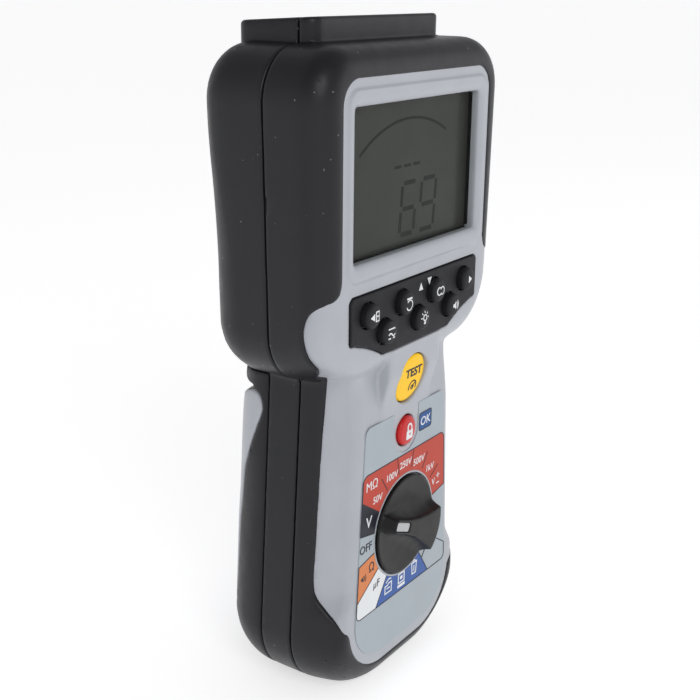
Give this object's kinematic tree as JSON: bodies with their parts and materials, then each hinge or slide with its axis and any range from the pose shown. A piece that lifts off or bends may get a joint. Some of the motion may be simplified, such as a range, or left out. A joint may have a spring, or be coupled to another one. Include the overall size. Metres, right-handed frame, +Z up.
{
  "type": "insulation resistance tester",
  "caption": "Handheld insulation resistance tester: wide head with an LCD and keypad, test and lock buttons, rotary range selector, rubber-skinned case and top sockets for test leads.",
  "frame": {"origin": "middle of the underside, on the surface that the tester stands on", "axes": "+Z up along the tester's length; the display and the keys face -Y; +X is to the right of a person who faces the display"},
  "size_m": [0.1074, 0.06, 0.228],
  "materials": {
    "case_grey": "fine satin texture",
    "skin_black": "satin",
    "rear_shell": "matte",
    "cover_black": "satin",
    "panel_grey": "fine satin texture",
    "window_clear": "polished",
    "lcd": "gloss",
    "light_guide": "gloss",
    "white_plastic": "matte",
    "black_plastic": "matte",
    "keypad_rubber": "matte",
    "button_yellow": "satin",
    "button_red": "gloss",
    "label_film": "satin film with printed ranges",
    "board_green": "solder mask",
    "component_dark": "matte",
    "component_blue": "gloss",
    "copper_winding": "taped winding",
    "steel": "plated",
    "brass": "polished",
    "contact_rubber": "matte",
    "insulator_red": "satin",
    "insulator_black": "satin",
    "fuse_ceramic": "ceramic",
    "cell_wrap": "printed sleeve without markings"
  },
  "bodies": {
    "case": {"front_case": "case_grey", "front_overmould": "skin_black", "rear_case": "rear_shell", "rear_overmould": "skin_black", "battery_cover": "cover_black", "battery_cover_panel": "panel_grey", "display_window": "window_clear", "lcd_glass": "lcd", "lcd_backlight": "light_guide", "lcd_frame": "white_plastic", "lcd_connectors": "contact_rubber", "display_board": "board_green", "keypad_mat": "keypad_rubber", "key_domes": "steel", "test_switch": "component_dark", "lock_switch": "component_dark", "front_label": "label_film", "shaft_bush": "brass", "detent_spring": "steel", "main_board": "board_green", "board_link": "component_dark", "hv_transformer": "copper_winding", "hv_capacitors": "component_blue", "relays": "white_plastic", "processor": "component_dark", "buzzer": "component_dark", "fuse": "fuse_ceramic", "fuse_clips": "brass", "socket_block": "black_plastic", "probe_socket": "insulator_black", "probe_socket_pins": "brass", "battery_cells": "cell_wrap", "battery_tray": "black_plastic", "battery_springs": "steel", "battery_contacts": "steel", "case_screws": "steel", "cover_screw": "steel", "negative_socket_insulator": "insulator_black", "negative_socket_sleeve": "brass", "positive_socket_insulator": "insulator_red", "positive_socket_sleeve": "brass"},
    "range_knob": {"range_knob": "black_plastic", "knob_pointer": "white_plastic", "selector_shaft": "white_plastic", "selector_rotor": "white_plastic", "selector_wipers": "brass", "shaft_clip": "steel"},
    "test_button": {"test_button": "button_yellow"},
    "lock_button": {"lock_button": "button_red"},
    "key_left": {"key_left": "keypad_rubber"},
    "key_test_mode": {"key_test_mode": "keypad_rubber"},
    "key_select": {"key_select": "keypad_rubber"},
    "key_right": {"key_right": "keypad_rubber"},
    "key_rms": {"key_rms": "keypad_rubber"},
    "key_backlight": {"key_backlight": "keypad_rubber"},
    "key_buzzer": {"key_buzzer": "keypad_rubber"}
  },
  "joints": [
    {"name": "range_knob_turn", "type": "hinge", "parent": "case", "child": "range_knob", "pos_m": [0, -0.0237, 0.0561], "axis": [0, -1, 0], "continuous": true},
    {"name": "test_button_press", "type": "slide", "parent": "case", "child": "test_button", "axis": [0, 1, 0], "range_m": [0, 0.002], "stiffness_N_per_m": 900},
    {"name": "lock_button_press", "type": "slide", "parent": "case", "child": "lock_button", "axis": [0, 1, 0], "range_m": [0, 0.0015], "stiffness_N_per_m": 900},
    {"name": "key_left_press", "type": "slide", "parent": "case", "child": "key_left", "axis": [0, 1, 0], "range_m": [0, 0.001], "stiffness_N_per_m": 700},
    {"name": "key_test_mode_press", "type": "slide", "parent": "case", "child": "key_test_mode", "axis": [0, 1, 0], "range_m": [0, 0.001], "stiffness_N_per_m": 700},
    {"name": "key_select_press", "type": "slide", "parent": "case", "child": "key_select", "axis": [0, 1, 0], "range_m": [0, 0.001], "stiffness_N_per_m": 700},
    {"name": "key_right_press", "type": "slide", "parent": "case", "child": "key_right", "axis": [0, 1, 0], "range_m": [0, 0.001], "stiffness_N_per_m": 700},
    {"name": "key_rms_press", "type": "slide", "parent": "case", "child": "key_rms", "axis": [0, 1, 0], "range_m": [0, 0.001], "stiffness_N_per_m": 700},
    {"name": "key_backlight_press", "type": "slide", "parent": "case", "child": "key_backlight", "axis": [0, 1, 0], "range_m": [0, 0.001], "stiffness_N_per_m": 700},
    {"name": "key_buzzer_press", "type": "slide", "parent": "case", "child": "key_buzzer", "axis": [0, 1, 0], "range_m": [0, 0.001], "stiffness_N_per_m": 700}
  ]
}
